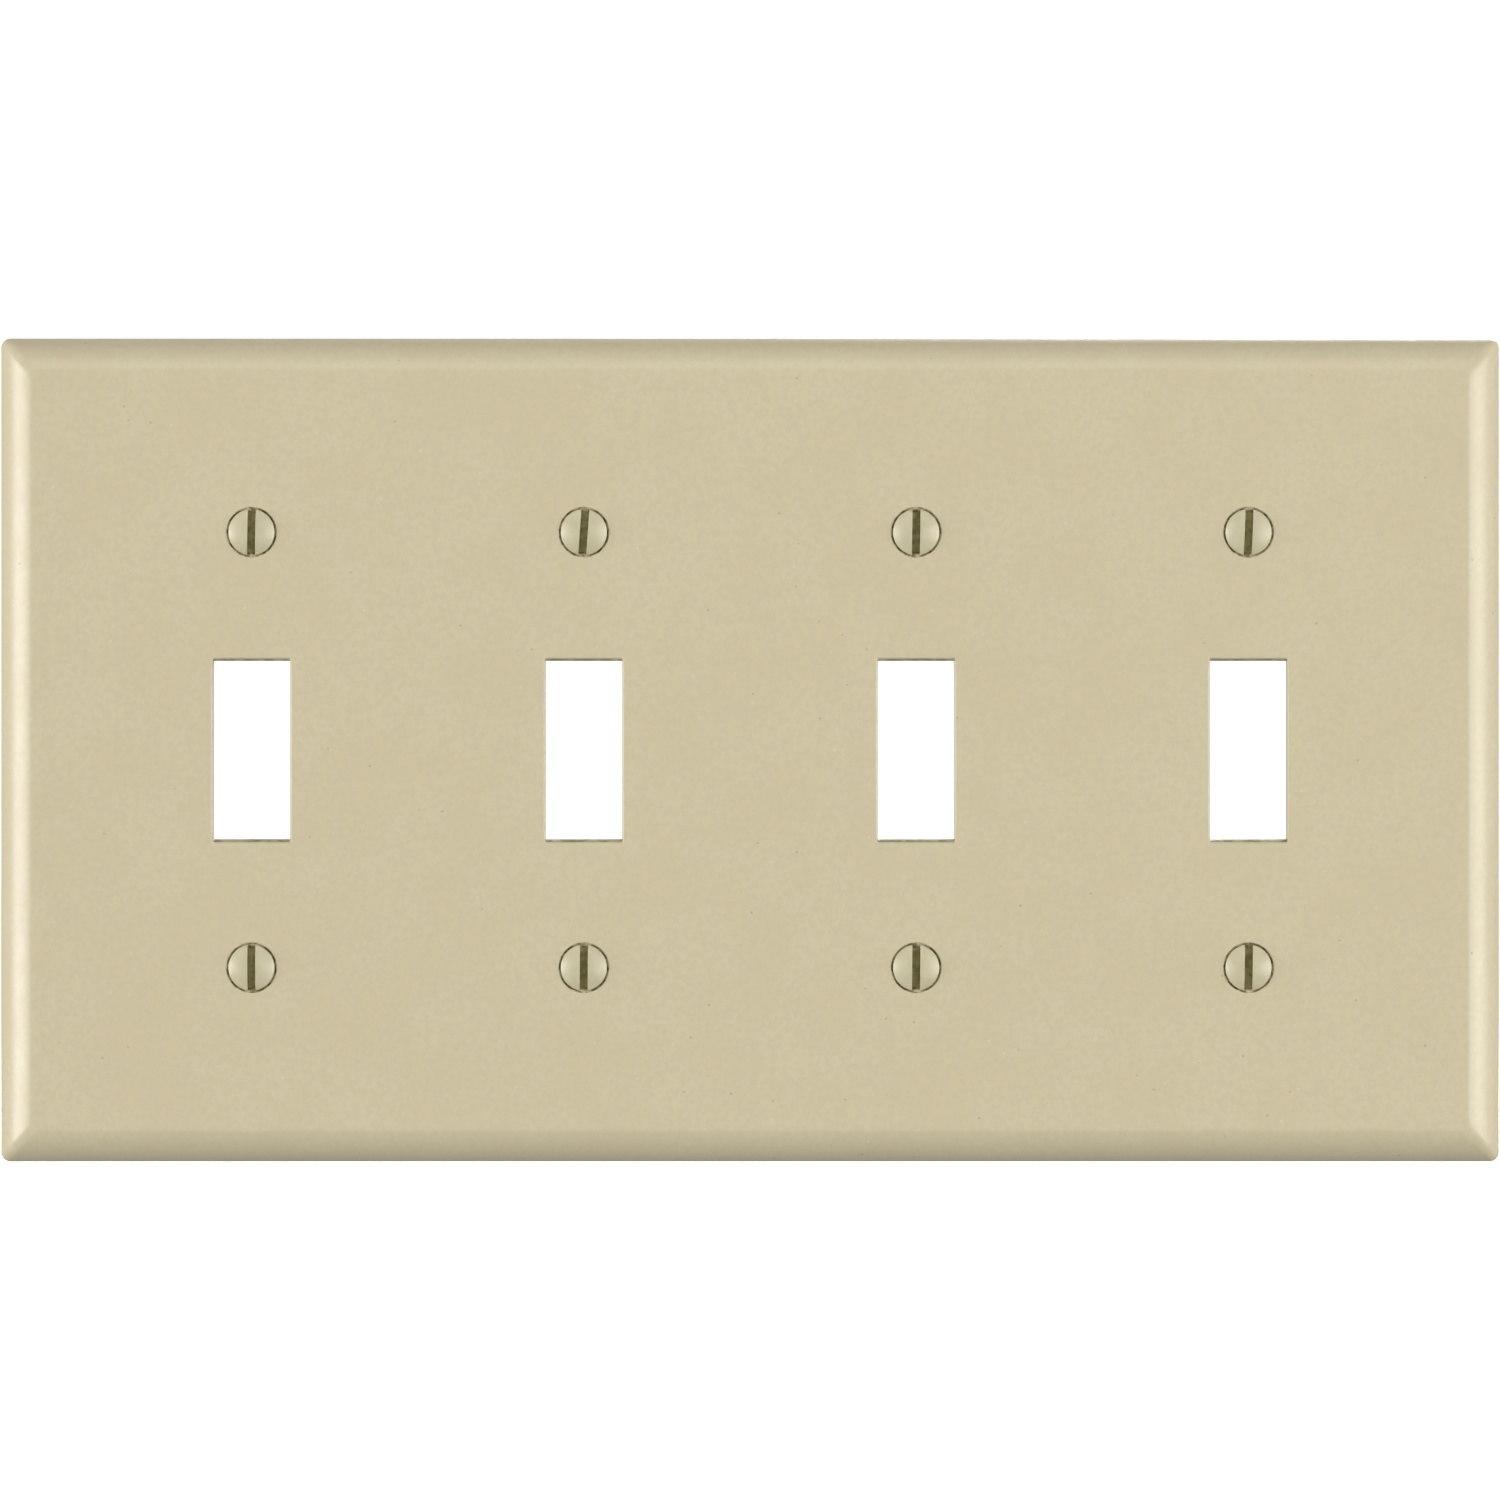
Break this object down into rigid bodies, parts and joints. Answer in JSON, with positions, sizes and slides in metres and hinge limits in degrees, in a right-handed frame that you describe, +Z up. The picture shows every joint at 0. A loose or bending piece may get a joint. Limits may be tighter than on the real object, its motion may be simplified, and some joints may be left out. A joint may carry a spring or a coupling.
{
  "type": "toggle switch wall plate",
  "caption": "Flat rectangular wall plate with a rounded border, a row of rectangular toggle windows and slotted oval-head screws above and below each window.",
  "frame": {"origin": "in the wall plane, behind the middle of the plate, where its rim rests on the wall", "axes": "+X to the right along the row of windows, +Z up, and the front face looks along -Y, so +Y goes into the wall"},
  "size_m": [0.208, 0.0137, 0.1142],
  "materials": {
    "ivory_plastic": "satin",
    "ivory_screw": "satin"
  },
  "bodies": {
    "plate": {"cover_plate": "ivory_plastic"},
    "top_screw_1": {"top_screw_1": "ivory_screw"},
    "top_screw_2": {"top_screw_2": "ivory_screw"},
    "top_screw_3": {"top_screw_3": "ivory_screw"},
    "top_screw_4": {"top_screw_4": "ivory_screw"},
    "bottom_screw_1": {"bottom_screw_1": "ivory_screw"},
    "bottom_screw_2": {"bottom_screw_2": "ivory_screw"},
    "bottom_screw_3": {"bottom_screw_3": "ivory_screw"},
    "bottom_screw_4": {"bottom_screw_4": "ivory_screw"}
  },
  "joints": [
    {"name": "top_screw_1_turn", "type": "hinge", "parent": "plate", "child": "top_screw_1", "pos_m": [-0.06906, 0, 0.03016], "axis": [0, 1, 0], "continuous": true},
    {"name": "top_screw_2_turn", "type": "hinge", "parent": "plate", "child": "top_screw_2", "pos_m": [-0.02302, 0, 0.03016], "axis": [0, 1, 0], "continuous": true},
    {"name": "top_screw_3_turn", "type": "hinge", "parent": "plate", "child": "top_screw_3", "pos_m": [0.02302, 0, 0.03016], "axis": [0, 1, 0], "continuous": true},
    {"name": "top_screw_4_turn", "type": "hinge", "parent": "plate", "child": "top_screw_4", "pos_m": [0.06906, 0, 0.03016], "axis": [0, 1, 0], "continuous": true},
    {"name": "bottom_screw_1_turn", "type": "hinge", "parent": "plate", "child": "bottom_screw_1", "pos_m": [-0.06906, 0, -0.03016], "axis": [0, 1, 0], "continuous": true},
    {"name": "bottom_screw_2_turn", "type": "hinge", "parent": "plate", "child": "bottom_screw_2", "pos_m": [-0.02302, 0, -0.03016], "axis": [0, 1, 0], "continuous": true},
    {"name": "bottom_screw_3_turn", "type": "hinge", "parent": "plate", "child": "bottom_screw_3", "pos_m": [0.02302, 0, -0.03016], "axis": [0, 1, 0], "continuous": true},
    {"name": "bottom_screw_4_turn", "type": "hinge", "parent": "plate", "child": "bottom_screw_4", "pos_m": [0.06906, 0, -0.03016], "axis": [0, 1, 0], "continuous": true}
  ]
}
